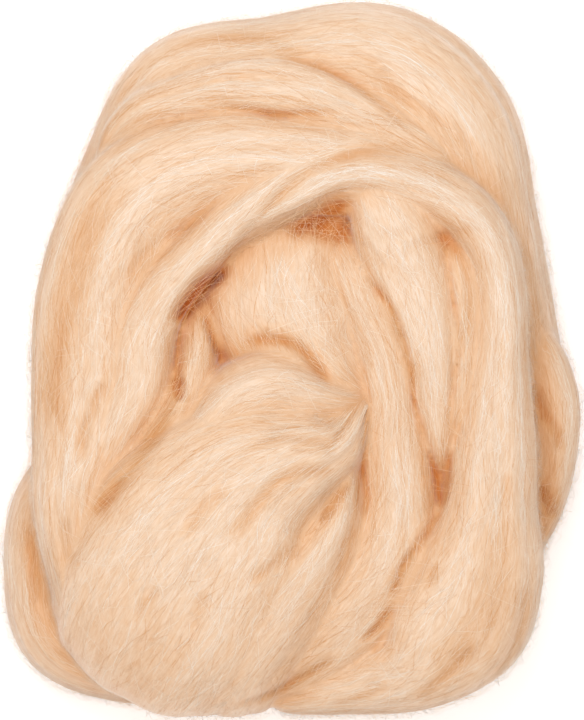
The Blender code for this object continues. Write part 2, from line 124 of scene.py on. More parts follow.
RUNS = {
    # The loop nearest the surface, which shows all round the rim.
    "outer_loop": Run(lobes=1.0, cover=13, stations=[
        (26, -84, 16, 30, 32), (-12, -91, 16, 32, 34), (-46, -93, 16, 28, 34),
        (-70, -85, 17, 29, 35), (-76, -65, 18, 27, 37), (-74, -47, 18, 27, 37),
        (-66, -33, 18, 26, 36), (-60, -8, 20, 30, 36), (-59, 28, 20, 34, 38),
        (-49, 61, 21, 32, 40), (-34, 83, 24, 37, 46), (-7, 88, 26, 37, 48),
        (26, 89, 27, 43, 52), (48, 72, 28, 43, 52), (60, 42, 26, 33, 46),
        (66, 12, 22, 32, 40), (70, -12, 20, 32, 38), (70, -32, 19, 34, 36),
        (63, -54, 17, 32, 35), (46, -76, 16, 32, 34), (16, -89, 16, 32, 34),
        (-20, -86, 16, 30, 32),
    ]),
    "side_fold": Run(lobes=0.6, cover=16, stations=[
        (66, 22, 24, 7, 10), (72, 11, 27, 11, 13), (78, -1, 29, 15, 17),
        (81, -14, 29, 17, 19), (81, -27, 27, 16, 19), (79, -40, 25, 15, 18),
        (75, -52, 22, 13, 15), (68, -64, 17, 10, 12),
    ]),
    # Two thin ribs between the outer loop and the arch.
    "upper_rib": Run(lobes=0.4, cover=18, stations=[
        (-58, 48, 30, 6, 12), (-56, 68, 37, 7, 13), (-47, 79, 42, 8, 14),
        (-36, 84, 45, 8, 14), (-22, 88, 47, 8, 14), (-8, 89, 48, 9, 14),
        (6, 86, 48, 10, 14), (20, 79, 48, 11, 14), (35, 71, 46, 12, 14),
        (50, 61, 42, 8, 13),
    ]),
    "lower_rib": Run(lobes=0.6, cover=18, stations=[
        (-54, 46, 32, 8, 13), (-54, 65, 38, 9, 14), (-45, 75, 43, 11, 16),
        (-34, 79, 46, 12, 17), (-20, 81, 48, 15, 18), (-5, 81, 49, 17, 19),
        (8, 78, 49, 17, 19), (20, 73, 48, 16, 18), (36, 66, 47, 17, 17),
        (51, 56, 44, 13, 16),
    ]),
    # The wide arch, in three overlapping bands. The last is its lip, which turns down the right side.
    "arch_outer": Run(lobes=1.0, cover=18, stations=[
        (-44, -98, 20, 22, 30), (-57, -84, 31, 26, 32), (-63, -64, 38, 26, 34),
        (-66, -44, 41, 29, 36), (-62, -24, 41, 38, 36), (-59, -2, 41, 44, 36),
        (-57, 21, 41, 44, 36), (-47, 46, 43, 43, 36), (-24, 59, 45, 39, 34),
        (3, 60, 46, 34, 32), (28, 56, 45, 30, 30), (48, 48, 43, 28, 27),
        (60, 34, 38, 16, 22),
    ]),
    "arch_middle": Run(lobes=0.8, cover=18, stations=[
        (-68, -54, 38, 6, 14), (-63, -43, 43, 9, 20), (-58, -32, 46, 15, 24),
        (-53, -20, 48, 21, 26), (-48, -8, 49, 23, 26), (-46, 6, 49, 23, 26),
        (-40, 20, 50, 21, 24), (-26, 36, 52, 18, 22), (-10, 50, 53, 18, 20),
        (6, 60, 52, 17, 20), (22, 64, 50, 15, 18), (40, 58, 46, 12, 16),
        (54, 47, 42, 8, 12),
    ]),
    "lip_and_side": Run(lobes=1.0, cover=18, stations=[
        (-40, 4, 42, 7, 10), (-37, 23, 48, 9, 13), (-27, 35, 53, 11, 15),
        (-13, 44, 54, 13, 15), (0, 51, 54, 14, 15), (12, 57, 54, 15, 16),
        (25, 58, 53, 17, 18), (40, 53, 51, 20, 20), (52, 46, 50, 19, 24),
        (60, 35, 50, 18, 25), (63, 20, 49, 18, 26), (63, 5, 49, 19, 27),
        (62, -10, 48, 24, 28), (61, -28, 48, 29, 30), (60, -44, 48, 31, 33),
        (57, -62, 47, 42, 38), (49, -80, 43, 48, 42), (37, -92, 37, 34, 42),
        (13, -99, 32, 20, 36), (-8, -103, 26, 12, 24),
    ]),
    # The strands that hang in the hollow of the arch.
    "web": Run(lobes=0.8, cover=20, stations=[
        (18, 62, 47, 10, 12), (25, 53, 51, 20, 18), (32, 40, 52, 29, 20),
        (37, 26, 51, 30, 20), (41, 12, 52, 25, 20), (43, 0, 51, 21, 20),
        (44, -12, 50, 18, 18), (45, -23, 50, 12, 16), (46, -36, 45, 7, 11),
    ]),
    "sliver": Run(lobes=0.3, cover=20, stations=[
        (49, 40, 42, 6, 8), (51, 30, 51, 11, 13), (53, 18, 53, 11, 13),
        (53, 6, 53, 10, 13), (53, -6, 52, 11, 13), (51, -18, 51, 9, 12),
        (50, -28, 49, 7, 11),
    ]),
    "inner_lobe": Run(lobes=0.8, cover=20, stations=[
        (-2, 54, 30, 38, 16), (-3, 46, 40, 44, 19), (-4, 37, 45, 47, 20),
        (-4, 27, 46, 49, 22), (-2, 15, 46, 51, 24), (4, 2, 47, 46, 24),
        (13, -6, 48, 30, 20), (21, -11, 46, 12, 14), (25, -18, 41, 6, 8),
    ]),
    "inner_band": Run(lobes=0.8, cover=20, stations=[
        (9, 47, 36, 10, 10), (13, 38, 43, 13, 14), (18, 26, 47, 18, 18),
        (23, 15, 47, 20, 20), (28, 3, 47, 21, 21), (31, -12, 47, 21, 22),
        (31, -26, 47, 28, 24), (32, -42, 47, 30, 26), (30, -58, 47, 37, 30),
        (18, -74, 43, 43, 34), (2, -88, 36, 34, 34), (-10, -97, 28, 24, 28),
    ]),
    "tuck": Run(lobes=0.4, cover=20, stations=[
        (-27, 24, 38, 7, 10), (-29, 12, 46, 12, 14), (-29, 2, 50, 13, 16),
        (-33, -12, 53, 13, 17), (-42, -26, 52, 13, 17), (-52, -40, 48, 12, 16),
        (-60, -52, 42, 10, 14),
    ]),
    # The broad fans that spread from the pinch at the middle to the lower left.
    "fan_edge": Run(lobes=0.8, cover=18, stations=[
        (25, -9, 42, 6, 9), (15, -13, 49, 14, 20), (5, -12, 51, 22, 27),
        (-6, -10, 52, 27, 30), (-16, -13, 52, 25, 31), (-25, -22, 51, 23, 31),
        (-34, -34, 49, 22, 31), (-44, -47, 46, 23, 32), (-54, -63, 41, 26, 32),
        (-61, -80, 32, 20, 30),
    ]),
    "upper_fan": Run(lobes=0.8, cover=18, stations=[
        (25, -9, 43, 5, 7), (19, -17, 51, 11, 17), (13, -26, 54, 23, 27),
        (2, -31, 55, 40, 34), (-12, -39, 54, 62, 41), (-25, -55, 51, 78, 46),
        (-36, -73, 44, 82, 50), (-43, -85, 33, 70, 46), (-45, -89, 20, 60, 36),
    ]),
    "lower_fan": Run(lobes=0.8, cover=18, stations=[
        (24, -13, 41, 4, 7), (19, -28, 50, 9, 16), (15, -41, 51, 17, 25),
        (9, -54, 51, 31, 32), (-3, -68, 48, 41, 38), (-14, -82, 43, 42, 42),
        (-20, -92, 32, 40, 38), (-22, -95, 20, 34, 30),
    ]),
    # Folds inside the bundle, which fill it and lie flat on the surface.
    "left_base": Run(lobes=0.6, cover=6, stations=[
        (-34, -82, 18, 40, 36), (-36, -40, 18, 48, 38), (-36, 10, 18, 46, 38),
        (-26, 66, 18, 40, 36),
    ]),
    "right_base": Run(lobes=0.6, cover=6, stations=[
        (22, -82, 18, 44, 36), (34, -40, 18, 50, 38), (36, 10, 18, 50, 38),
        (26, 64, 18, 44, 36),
    ]),
    "middle_base": Run(lobes=0.6, cover=6, stations=[
        (-4, -86, 17, 40, 36), (0, -30, 18, 46, 38), (-2, 30, 16, 46, 34),
        (0, 70, 17, 40, 36),
    ]),
    "left_core": Run(lobes=0.6, cover=8, stations=[
        (-14, 40, 32, 22, 18), (-20, 16, 38, 24, 18), (-22, -2, 41, 22, 18),
        (-36, -20, 41, 22, 19),
    ]),
    "inner_core": Run(lobes=0.6, cover=8, stations=[
        (30, 48, 26, 26, 20), (27, 24, 31, 42, 26), (18, 0, 32, 50, 26),
        (10, -30, 32, 56, 28), (4, -66, 30, 60, 30),
    ]),
}

# line: places (x, y) that a crease passes over, seen from above. width: from its bottom to its soft rim.
# depth: how far it draws the wool down at its middle.
Crease = namedtuple("Crease", "line width depth")

CREASES = [
    # The arch and its lip.
    Crease([(-66, 8), (-60, 18), (-50, 28), (-40, 37), (-30, 42), (-22, 50), (-12, 58)], 1.2, 0.5),
    Crease([(-18, 37), (-8, 45), (-2, 53), (5, 58), (12, 61), (25, 64), (36, 62)], 1.7, 1.2),
    Crease([(14, 51), (20, 54), (40, 52), (58, 46)], 1.4, 0.6),
    Crease([(-57, -6), (-60, -12), (-64, -22), (-65, -33)], 1.5, 1.6),
    Crease([(-36, 36), (-28, 45), (-24, 52)], 2.0, 0.5),
    # The soft outer fall of the arch's left flank, and of the bend at the lower right.
    Crease([(-52, 60), (-62, 42), (-67, 25), (-71, 8), (-75, -10), (-76, -34)], 6.0, 1.7),
    Crease([(60, -42), (63, -58), (61, -74), (52, -88), (40, -98)], 7.0, 1.1),
    # Between the arch's left leg and the fan.
    Crease([(-35.5, -5), (-34.5, -9), (-34, -13)], 1.7, 3.2),
    Crease([(-34, -8), (-39, -19), (-44, -27), (-50, -35), (-57, -43), (-62, -49)], 2.2, 1.3),
    Crease([(-50, -34), (-56, -42), (-61, -48)], 2.8, 0.8),
    Crease([(-70, -48), (-69, -56), (-68, -64)], 2.0, 0.8),
    # The fan's upper edge, and its valleys.
    Crease([(-17, 4), (-7, 6.5), (2, 4), (7, -1), (12, -10)], 1.9, 2.4),
    Crease([(24, -11), (18, -16), (14, -24), (11, -26), (0, -24), (-10, -26), (-21, -32)], 1.4, 1.2),
    Crease([(14, -28), (6, -28), (-1, -27)], 1.0, 0.7),
    Crease([(10, -20), (0, -21), (-8, -22)], 1.0, 0.6),
    Crease([(16, -35), (3, -34), (-5, -38), (-12, -46), (-20, -57)], 2.0, 1.5),
    Crease([(-18, -39), (-27, -45), (-33, -54)], 2.2, 0.8),
    Crease([(19, -38), (14, -43), (8, -51)], 1.7, 1.5),
    Crease([(5, -57), (-5, -62), (-14, -69)], 1.9, 1.0),
    Crease([(-25, -70), (-28, -77), (-31, -84)], 1.6, 0.8),
    Crease([(-41, -69), (-47, -79)], 1.9, 0.9),
    Crease([(20, -50), (16, -58), (13, -67)], 1.9, 0.8),
    Crease([(23.5, -11), (22, -22), (21.5, -32), (23, -42), (21, -51)], 1.0, 1.8),
    # The inner lobe, the inner band and the web.
    Crease([(-36, 11), (-33, 16), (-29, 22), (-25, 25), (-19, 29)], 2.2, 6.0),
    Crease([(-34.5, 13), (-35, 5), (-35, -2), (-34, -10)], 1.2, 1.4),
    Crease([(-27, 14), (-25, 7), (-22, -1)], 1.0, 2.5),
    Crease([(-2, 39), (5, 42), (12, 46), (18, 51)], 2.6, 2.6),
    Crease([(5, 39), (11, 39), (19, 37)], 2.6, 1.6),
    Crease([(11, 37), (14, 25), (17, 17), (21, 9), (24, 2), (27, -4)], 1.3, 0.6),
    Crease([(22, 26), (26, 22), (30, 17), (34, 7), (37, -5), (38, -15), (42, -27)], 0.8, 2.4),
    Crease([(44.5, 39), (46.5, 37), (48.5, 35)], 1.8, 1.2),
    Crease([(34, 35), (40, 36), (46, 38), (54, 40), (61, 40)], 1.5, 0.7),
    Crease([(15, 42), (22, 36), (30, 27)], 1.1, 0.7),
    Crease([(20, 43), (29, 39), (38, 40)], 1.1, 0.5),
    Crease([(46, 37), (48, 27), (50, 16), (52, 5), (49, -8), (48, -17), (48, -28)], 0.8, 1.4),
    Crease([(48, 38), (52, 31), (54, 22), (54, 12), (52, 4)], 1.2, 1.0),
    Crease([(42, -27), (43.5, -33), (45, -40), (46, -46)], 1.0, 1.8),
    Crease([(48, -26), (48.5, -33), (48, -40), (46.5, -47)], 0.9, 1.6),
    # The right side and the bottom.
    Crease([(46, -46), (40, -55), (35, -62), (32, -69), (31, -74)], 1.1, 2.4),
    Crease([(32, -74), (27, -81), (21, -87)], 1.1, 2.2),
    Crease([(15, -91), (4, -97), (-7, -103), (-19, -107)], 1.3, 2.0),
    Crease([(44, -62), (42, -70)], 1.7, 0.7),
    Crease([(57, -86), (48, -96), (38, -104)], 1.9, 1.4),
    Crease([(29, -98), (20, -104), (11, -107)], 1.7, 1.1),
    Crease([(71, -67), (70, -80), (66, -91), (59, -98)], 1.9, 1.2),
    Crease([(66, 14), (64, 2), (64, -10)], 1.6, 0.5),
    Crease([(66, -34), (64, -46)], 1.8, 0.6),
    Crease([(74, -6), (77, -14), (81, -21), (84, -29)], 1.6, 1.2),
    Crease([(75, -37), (80, -44), (82, -49)], 2.2, 1.6),
    # The slit under the lower rib.
    Crease([(-26, 79), (-12, 77), (-5, 75.5), (5, 76), (16, 76)], 1.1, 1.9),
    # The outer loop.
    Crease([(-8, 94), (3, 91.5), (12, 88.5), (20, 84), (30, 76), (40, 67)], 0.9, 1.3),
    Crease([(14, 97), (22, 93), (28, 87), (35, 80), (42, 76), (50, 70), (56, 64), (62, 55)], 1.7, 0.8),
    Crease([(-40, 96), (-25, 99), (-15, 99), (-5, 97), (6, 92)], 1.9, 1.0),
    Crease([(-83, -50), (-80, -64), (-79, -76)], 1.6, 0.9),
]

# The lobes of a band. spacing: from one to the next, across the fibres. height: of its crown over the
# valleys. wander: how far it drifts sideways, in lobes. length: of one drift along the fibres.
Lobe = namedtuple("Lobe", "spacing height wander length")

LOBES = [
    Lobe(19.0, 1.10, 0.30, 46.0),
    Lobe(12.0, 0.90, 0.45, 38.0),
    Lobe(8.5, 0.60, 0.60, 31.0),
    Lobe(6.2, 0.36, 0.80, 27.0),
    Lobe(4.6, 0.18, 1.00, 24.0),
    Lobe(3.3, 0.08, 1.20, 21.0),
]

# The lobes' shared shape: their crowns' roundness, how far the band draws in to make room for them, how
# they lean towards the band's edges, and how each drifts, swells and fades along and round the band.
LOBE_ROUNDNESS = 1.1
LOBE_ROOM = 1.2
LOBE_LEAN = 0.6
LEAN_LENGTH = 61.0
DRIFT_STRETCH = (0.8, 1.25)
LEAST_SWELL = 0.05
MEAN_SWELL = 0.45
SWELL_LENGTH = 0.8
SWELL_TWIST = 3

# A kind of fibre. share: how many of it for each of a run's cover. width: of one drawn fibre, which
# stands for a lock of about ten real ones. length, spread: its mean length and how much that varies.
# slant: its mean angle to the run, in degrees. rise: how high its middle stands off the band. sink: how
# deep its ends go in. bend: sideways sway. pale: how much lighter it is painted than the mass, a
# painted highlight for the light that passes through thin loose fibres at the rim. on_top, on_sides: the
# share of it that is kept there.
Fibre = namedtuple("Fibre", "share width length spread slant rise sink bend pale on_top on_sides")

FIBRES = {
    "fibres": Fibre(2.8, 0.12, 18.0, 6.0, 7.0, 0.14, 0.25, 0.9, 0.0, 1.0, 0.95),
    "loose": Fibre(0.5, 0.08, 16.0, 6.0, 25.0, 0.50, 0.40, 1.8, 0.3, 1.0, 0.7),
    "fuzz": Fibre(3.4, 0.08, 8.0, 3.0, 50.0, 1.60, 0.60, 1.6, 1.0, 0.05, 1.0),
}

# A fibre is on top where it faces up by more than this, and below where it faces down by more. The share
# is that of the fibres kept below.
SIDE_LIMIT = 0.35
BELOW_SHARE = 0.2

# How the fibres of a kind vary: the shortest as a share of the mean length, the mean and the spread of
# their rise as shares of the kind's, how far the sideways sway turns to an end, and the spread of tone.
SHORTEST = 0.4
RISE_MEAN = 0.8
RISE_SPREAD = 0.5
SWAY_TURN = 2.2
TONE_SPREAD = 1.0

# A group of loose fibres drawn over a gap. start, end: places (x, y) that they run between.
# spread: how far they scatter at both ends. count: how many.
Stray = namedtuple("Stray", "start end spread count")

STRAYS = [
    # Over the pocket at the arch's left and the slit below it.
    Stray((-37, 14), (-19, 27), 8, 14),
    Stray((-36, 24), (-24, 12), 8, 8),
    Stray((-38, 3), (-24, 8), 8, 7),
    Stray((-40, -15), (-27, -8), 7, 12),
    # Over the pocket under the lip, from the inner lobe to the web.
    Stray((-6, 38), (20, 47), 9, 14),
    Stray((5, 53), (21, 32), 10, 14),
    Stray((-2, 32), (12, 52), 11, 12),
    Stray((39, 33), (55, 41), 6, 5),
    # Over the wedge and along the lower right.
    Stray((36, -33), (55, -38), 12, 8),
    Stray((20, -76), (58, -73), 12, 26),
    Stray((-70, -36), (-56, -47), 9, 16),
    Stray((70, -34), (86, -50), 9, 14),
]

# A stray's width, sideways sway and its turn, the rise of its middle, how deep its ends go in, how far
# all of it lies below the wool round the gap, and its share of the painted shade there.
STRAY_WIDTH = 0.07
STRAY_SWAY = 1.2
STRAY_TURN = 2.4
STRAY_RISE = 0.7
STRAY_SINK = 0.6
STRAY_DEPTH = 0.4
STRAY_PAINTED_SHADE = 0.85

# Painted shade: what multiplies the wool's colour where so much of the light is closed off. It darkens the
# colour and turns it from peach to deep orange, standing in for the shade in creases and on slopes and for
# the light that has passed through much wool.
PAINTED_SHADE_TINTS = [
    (0.02, "#FFFFFF"),
    (0.15, "#FBF1E6"),
    (0.30, "#F5E2CE"),
    (0.50, "#E9C6A0"),
    (0.75, "#D89A5E"),
    (1.0, "#BE713A"),
]

# The wool's own colours: of the mass, from its dark streaks to its light ones, and of single fibres,
# whose tone runs this far to either side of the middle one.
MASS_COLOURS = [(0.3, "#E8C5A4"), (0.5, "#EED1B5"), (0.7, "#F4DDC8")]
FIBRE_COLOURS = [(0.0, "#DFA874"), (0.5, "#F5DBC2"), (1.0, "#FFFAF3")]
TONE_REACH = 2.5

# Matte, with the pale bloom that fine loose fibres give wool where it turns away.
WOOL_FINISH = {"Specular IOR Level": 0.1, "Sheen Weight": 0.7, "Sheen Roughness": 0.45}

# The mass's own streaks: their width in mm, their width over their length, and their relief in mm. A real
# fibre, 0.02 mm wide, is too fine to show, so they are drawn as wide as a lock of fibres.
MASS_STREAK = 0.5
MASS_STRETCH = 0.12
MASS_RELIEF = 0.3

# spacing: from one light streak to the next, across the fibres. length: of one drift along them.
Streak = namedtuple("Streak", "spacing length")
STREAKS = [Streak(12.0, 60.0), Streak(6.5, 45.0), Streak(3.6, 35.0)]

# How far a streak drifts sideways, its mean strength, and how it swells along the fibres and across them.
STREAK_DRIFT = 1.5
STREAK_MEAN = 0.4
STREAK_SWELL = 1.3
SWELL_SPACING = 14

# The make of a drawn fibre: its rings and sides, how flat it is, how far it narrows to its last rings,
# and the turn that lays a flat side on the wool.
FIBRE_RINGS = 3
FIBRE_SIDES = 3
FIBRE_FLATNESS = 0.3
FIBRE_TAPER = 0.8
FIBRE_TURN = 0.75

# The least that a fibre's own direction may agree with the wool's.
LEAST_AGREEMENT = 0.2

# A fibre is looked at in two places, and may lie this deep in another band before it is left out.
LOOKED_AT = (0.3, 0.7)
DEPTH_ALLOWED = 0.8


# ---------------- the run's path and bands


def curve_through(knots, at):
    """A Catmull-Rom curve through the rows of knots, read at places 0 to len(knots) - 1."""
    padded = np.vstack([2 * knots[0] - knots[1], knots, 2 * knots[-1] - knots[-2]])
    first = np.clip(at.astype(int), 0, len(knots) - 2)
    t = (at - first)[:, None]
    a, b, c, d = (padded[first + i] for i in range(4))
    return 0.5 * (2 * b + (c - a) * t + (2 * a - 5 * b + 4 * c - d) * t**2 + (3 * b - a - 3 * c + d) * t**3)


def even_places(knots, step):
    """Places along the curve that lie about one step apart, and how far along each one is."""
    fine = np.linspace(0, len(knots) - 1, PATH_READINGS * len(knots))
    path = curve_through(knots, fine)[:, :3]
    along = np.concatenate([[0], np.cumsum(np.linalg.norm(np.diff(path, axis=0), axis=1))])
    count = max(LEAST_RINGS, int(round(along[-1] / step)))
    wanted = np.linspace(0, along[-1], count + 1)
    return np.interp(wanted, along, fine), wanted


def carried_frames(path):
    """Unit vectors across and out of a band, level at the path's middle and carried along it untwisted."""
    tangent = np.gradient(path, axis=0)
    tangent /= np.linalg.norm(tangent, axis=1)[:, None]
    across = np.zeros_like(path)
    middle = len(path) // 2
    across[middle] = np.cross(tangent[middle], (0, 0, 1))
    across[middle] /= np.linalg.norm(across[middle])
    for order in (range(middle + 1, len(path)), range(middle - 1, -1, -1)):
        before = middle
        for i in order:
            carried = across[before] - tangent[i] * np.dot(across[before], tangent[i])
            across[i] = carried / np.linalg.norm(carried)
            before = i
    return tangent, across, np.cross(across, tangent)


def between(grid, i, j, after, u, v):
    """The grid's value a share u of the way from row i to the next, and v from column j to after."""
    low = grid[i, j] * (1 - v) + grid[i, after] * v
    high = grid[i + 1, j] * (1 - v) + grid[i + 1, after] * v
    return low * (1 - u) + high * u


def lobe_relief(angle, along, girth, strength, rng):
    """Height of the lobes at each angle and length, in mm.

    Each row of LOBES adds height * (1 - |sin|) of a wave round the band: rounded crowns between soft
    valleys. The wave drifts sideways with a slow sine along the band, and swells and fades with another.
    """
    total = np.zeros_like(angle)
    for lobe in LOBES:
        waves = max(2, int(round(girth / lobe.spacing)))
        turn, drift, swell = rng.uniform(0, 2 * math.pi, 3)
        stretch = rng.uniform(*DRIFT_STRETCH)
        sway = lobe.wander * math.pi * np.sin(along / (lobe.length * stretch) + drift)
        sway = sway + LOBE_LEAN * np.sin(2 * angle + along / LEAN_LENGTH + swell)
        crown = np.abs(np.sin(0.5 * waves * angle + 0.5 * sway + turn)) ** LOBE_ROUNDNESS
        twist = SWELL_TWIST * np.sin(angle + turn)
        slow = np.sin(along / (SWELL_LENGTH * lobe.length) + twist + swell)
        fade = MEAN_SWELL + (1 - MEAN_SWELL) * slow
        total += lobe.height * np.clip(fade, LEAST_SWELL, 1) * crown
    return strength * total


class Band:
    """A run's surface: rings of points round its path, ring by ring, with the outward direction at each."""

    def __init__(self, run, rng):
        knots = np.array(run.stations, float)
        places, self.along = even_places(knots, RING_SPACING)
        sections = curve_through(knots, places)
        self.path = sections[:, :3]
        self.half_width = 0.5 * sections[:, 3]
        self.half_thick = 0.5 * sections[:, 4]
        self.tangent, self.across, self.out = carried_frames(self.path)
        from_end = np.minimum(self.along, self.along[-1] - self.along)
        blunt = np.sqrt(np.clip(1 - (1 - np.clip(from_end / BLUNT_END, 0, 1)) ** 2, BLUNT_TIP, 1))
        self.girth = math.pi * np.mean(self.half_width + self.half_thick)
        around = max(LEAST_POINTS, int(round(self.girth / POINT_SPACING)))
        self.angle = np.arange(around) * 2 * math.pi / around
        turned = np.broadcast_to(self.angle, (len(places), around))
        far = np.broadcast_to(self.along[:, None], turned.shape)
        relief = lobe_relief(turned, far, self.girth, run.lobes, rng) - LOBE_ROOM * run.lobes
        relief = relief * blunt[:, None]
        cos, sin = np.cos(turned), np.sin(turned)
        wide = (self.half_width * blunt)[:, None]
        deep = (self.half_thick * blunt)[:, None]
        normal = (deep * cos)[..., None] * self.across[:, None, :]
        normal = normal + (wide * sin)[..., None] * self.out[:, None, :]
        self.normal = normal / np.linalg.norm(normal, axis=2)[..., None]
        points = self.path[:, None, :] + (wide * cos)[..., None] * self.across[:, None, :]
        points = points + (deep * sin)[..., None] * self.out[:, None, :]
        self.points = points + relief[..., None] * self.normal

    def read(self, grid, along, angle):
        """A grid's value at any length and angle on the band, between its points in straight lines."""
        row = np.clip(along / self.along[1], 0, len(self.along) - LAST_READING)
        column = np.mod(angle / (2 * math.pi), 1) * len(self.angle)
        i, j = row.astype(int), column.astype(int) % len(self.angle)
        u, v = (row - i)[..., None], (column - np.floor(column))[..., None]
        return between(grid, i, j, (j + 1) % len(self.angle), u, v)

    def gap(self, points):
        """How far outside the band each point is, below zero inside, and the lay of the fibres there.

        It is the distance from the path less the section's radius on that side, plus any way past an end.
        """
        near = (self.path**2).sum(axis=1) - 2 * points @ self.path.T
        i = near.argmin(axis=1)
        away = points - self.path[i]
        u = (away * self.across[i]).sum(axis=1)
        v = (away * self.out[i]).sum(axis=1)
        w = (away * self.tangent[i]).sum(axis=1)
        share = np.sqrt((u / self.half_width[i]) ** 2 + (v / self.half_thick[i]) ** 2) + 1e-6
        gap = np.hypot(u, v) * (1 - 1 / share)
        past = np.clip(np.abs(w) - RING_SPACING, 0, None)
        gap = np.where(past > 0, np.hypot(np.clip(gap, 0, None), past), gap)
        angle = np.arctan2(v / self.half_thick[i], u / self.half_width[i])
        radius = self.girth / (2 * math.pi)
        lay = np.stack([np.cos(angle) * radius, np.sin(angle) * radius, self.along[i] + w], axis=1)
        return gap, lay


def lay_at(points, bands):
    """The lay of the fibres at each point: that of the band whose surface is nearest."""
    least = np.full(len(points), np.inf)
    lay = np.zeros((len(points), 3))
    for band in bands.values():
        gap, here = band.gap(points)
        own = gap < least
        lay[own] = here[own]
        least = np.minimum(least, gap)
    return lay


# ---------------- creases and depth


def pressed(points, upward):
    """The points drawn down by the creases, and how far. upward: how much each one's surface faces up.

    A crease draws down by its depth * exp(-(distance / width)^2), fading out at both ends of its line.
    """
    drop = np.zeros(len(points))
    for crease in CREASES:
        knots = np.array(crease.line, float)
        line = curve_through(knots, np.linspace(0, len(knots) - 1, CREASE_READINGS * len(knots)))
        reach = CREASE_REACH * crease.width
        low, high = line.min(axis=0) - reach, line.max(axis=0) + reach
        near = np.flatnonzero(((points[:, :2] > low) & (points[:, :2] < high)).all(axis=1))
        away = ((points[near, None, :2] - line[None]) ** 2).sum(axis=2)
        closest = away.argmin(axis=1)
        distance = away[np.arange(len(near)), closest]
        place = closest / (len(line) - 1)
        fading = np.clip(CREASE_FADE * np.minimum(place, 1 - place), 0, 1)
        drop[near] += crease.depth * fading * np.exp(-distance / crease.width**2)
    drop *= np.clip(FACING_UP * upward, 0, 1)
    moved = points.copy()
    moved[:, 2] -= drop
    return moved, drop


def painted_shade_at(share, drop, upward):
    """The painted shade at a place, from how closed off from light it is: its share of sky lost, its crease
    and its turn from above.
    """
    return share + CREASE_PAINTED_SHADE * drop + SLOPE_PAINTED_SHADE * (1 - np.clip(upward, 0, 1))


def beside(grid, axis):
    """The grid shifted by one cell to either side."""
    return np.roll(grid, 1, axis), np.roll(grid, -1, axis)


class HeightMap:
    """The bundle's top surface on a grid, and how much of the sky each place of it is closed off from,
    which sets the painted shade.
    """

    def __init__(self, points):
        self.low = points[:, :2].min(axis=0) - MAP_MARGIN
        size = np.ceil((points[:, :2].max(axis=0) + MAP_MARGIN - self.low) / MAP_STEP).astype(int) + 1
        cell = np.floor((points[:, :2] - self.low) / MAP_STEP).astype(int)
        self.top = np.zeros(size)
        for right, up in ((0, 0), (1, 0), (0, 1), (1, 1)):
            np.maximum.at(self.top, (cell[:, 0] + right, cell[:, 1] + up), points[:, 2])
        # Cells that the points miss are filled from beside them, and the rim that grew is drawn in again.
        for highest_or_lowest in (np.maximum, np.minimum):
            for axis in (0, 1):
                pair = beside(self.top, axis)
                self.top = highest_or_lowest(self.top, highest_or_lowest(*pair))
        # The painted shade: the share of sky closed off at each place, added to the same spread over the
        # cells round it.
        own = np.where(self.top > 0, self.closed_share(), 0)
        spread_shade = own
        for _ in range(SHADE_SPREAD_ROUNDS):
            for axis in (0, 1):
                spread_shade = 0.5 * spread_shade + 0.25 * sum(beside(spread_shade, axis))
        self.painted_shade = OWN_SHADE_SHARE * own + SPREAD_SHADE_SHARE * spread_shade

    def closed_share(self):
        """For each place, how high the wool round it stands over the place's own slope.

        It is the mean over directions of the sine of the angle between that slope and the highest line up.
        """
        total = np.zeros_like(self.top)
        slope = np.gradient(self.top, MAP_STEP)
        for turn in np.arange(MAP_DIRECTIONS) * 2 * math.pi / MAP_DIRECTIONS:
            own = -(slope[0] * math.cos(turn) + slope[1] * math.sin(turn))
            highest = own
            for far in MAP_REACHES:
                shift = (int(round(far * math.cos(turn))), int(round(far * math.sin(turn))))
                rise = np.roll(self.top, shift, (0, 1)) - self.top
                highest = np.maximum(highest, rise / (MAP_STEP * math.hypot(*shift)))
            total += np.sin(np.arctan(highest) - np.arctan(own))
        return total / MAP_DIRECTIONS

    def read(self, grid, points):
        """A grid's value above each point, between its cells in straight lines."""
        place = np.clip((points[:, :2] - self.low) / MAP_STEP, 0, np.array(grid.shape) - LAST_READING)
        i, j = place.astype(int).T
        u, v = (place - place.astype(int)).T
        return between(grid, i, j, j + 1, u, v)


class Field:
    """The wool's outward direction on a coarse grid: the sum of the skin's normals round each cell."""

    def __init__(self, points, normals):
        self.low = points.min(axis=0) - FIELD_MARGIN
        size = np.ceil((points.max(axis=0) + FIELD_MARGIN - self.low) / FIELD_STEP).astype(int) + 1
        cell = np.round((points - self.low) / FIELD_STEP).astype(int)
        at = np.ravel_multi_index(cell.T, size)
        total = np.stack([np.bincount(at, part, size.prod()) for part in normals.T], axis=-1)
        total = total.reshape(*size, 3)
        for axis in (0, 1, 2):
            total = total + FIELD_SPREAD * sum(beside(total, axis))
        self.total = total

    def read(self, points, instead):
        """Unit directions at the points, between the cells in straight lines, or instead where it is empty.

        The instead directions, and straight up where those don't face down, add with their weights.
        """
        last = np.array(self.total.shape[:3]) - LAST_READING
        place = np.clip((points - self.low) / FIELD_STEP, 0, last)
        first = place.astype(int)
        share = place - first
        found = np.zeros_like(points)
        for corner in np.ndindex(2, 2, 2):
            weight = np.prod(np.where(corner, share, 1 - share), axis=1)
            found += weight[:, None] * self.total[tuple((first + corner).T)]
        found += OWN_WEIGHT * instead
        found[:, 2] += UP_WEIGHT * np.clip(instead[:, 2] + UP_REACH, 0, 1)
        return found / (np.linalg.norm(found, axis=1)[:, None] + 1e-9)


# ---------------- meshes


